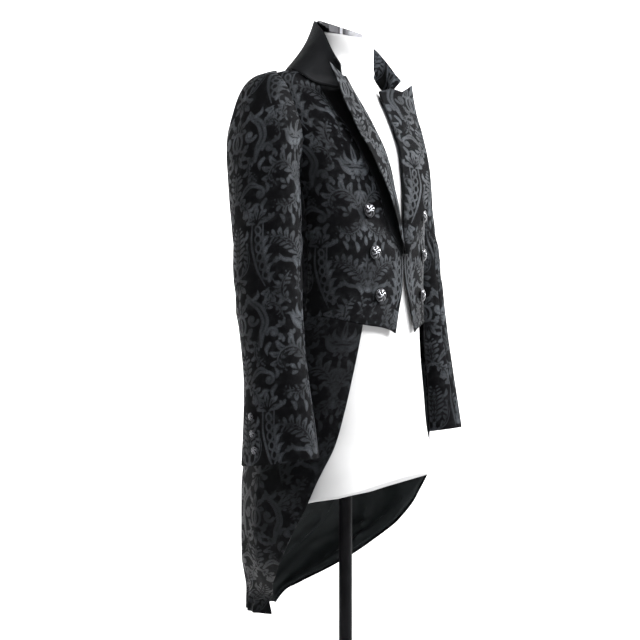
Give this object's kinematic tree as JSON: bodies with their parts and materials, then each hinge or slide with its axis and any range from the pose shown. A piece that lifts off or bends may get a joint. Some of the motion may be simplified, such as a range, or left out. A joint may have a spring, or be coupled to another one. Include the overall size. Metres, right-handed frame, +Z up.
{
  "type": "brocade tailcoat on a dress form",
  "caption": "Waist-length double-breasted brocade coat with cutaway lined tails, raised collar, peaked lapels and domed buttons, on a limbless dress form with a round base.",
  "frame": {"origin": "centre of the round base's underside, on the floor", "axes": "+Z up along the pole, -Y the way the coat faces, +X the wearer's left"},
  "size_m": [0.5942, 0.4085, 1.397],
  "materials": {
    "brocade": "black and dark grey damask weave",
    "plain_cloth": "plain black, slight satin",
    "button_metal": "dark antiqued relief",
    "form_cover": "stretched matt jersey",
    "chrome": "polished",
    "stand_black": "satin black"
  },
  "bodies": {
    "root": {"forepart_left": "brocade", "side_body_left": "brocade", "back_left": "brocade", "skirt_left": "brocade", "lapel_left": "brocade", "sleeve_top_left": "brocade", "sleeve_under_left": "brocade", "forepart_right": "brocade", "side_body_right": "brocade", "back_right": "brocade", "skirt_right": "brocade", "lapel_right": "brocade", "sleeve_top_right": "brocade", "sleeve_under_right": "brocade", "collar_top": "brocade", "tail_lining_left": "plain_cloth", "lapel_band_left": "plain_cloth", "tail_lining_right": "plain_cloth", "lapel_band_right": "plain_cloth", "collar_under": "plain_cloth", "front_button_left_1": "button_metal", "front_button_left_2": "button_metal", "front_button_left_3": "button_metal", "front_button_right_1": "button_metal", "front_button_right_2": "button_metal", "front_button_right_3": "button_metal", "cuff_button_left_1": "button_metal", "cuff_button_left_2": "button_metal", "cuff_button_left_3": "button_metal", "cuff_button_right_1": "button_metal", "cuff_button_right_2": "button_metal", "cuff_button_right_3": "button_metal", "form_torso": "form_cover", "form_neck_cap": "chrome", "form_pole": "stand_black", "form_base": "stand_black"}
  },
  "joints": []
}
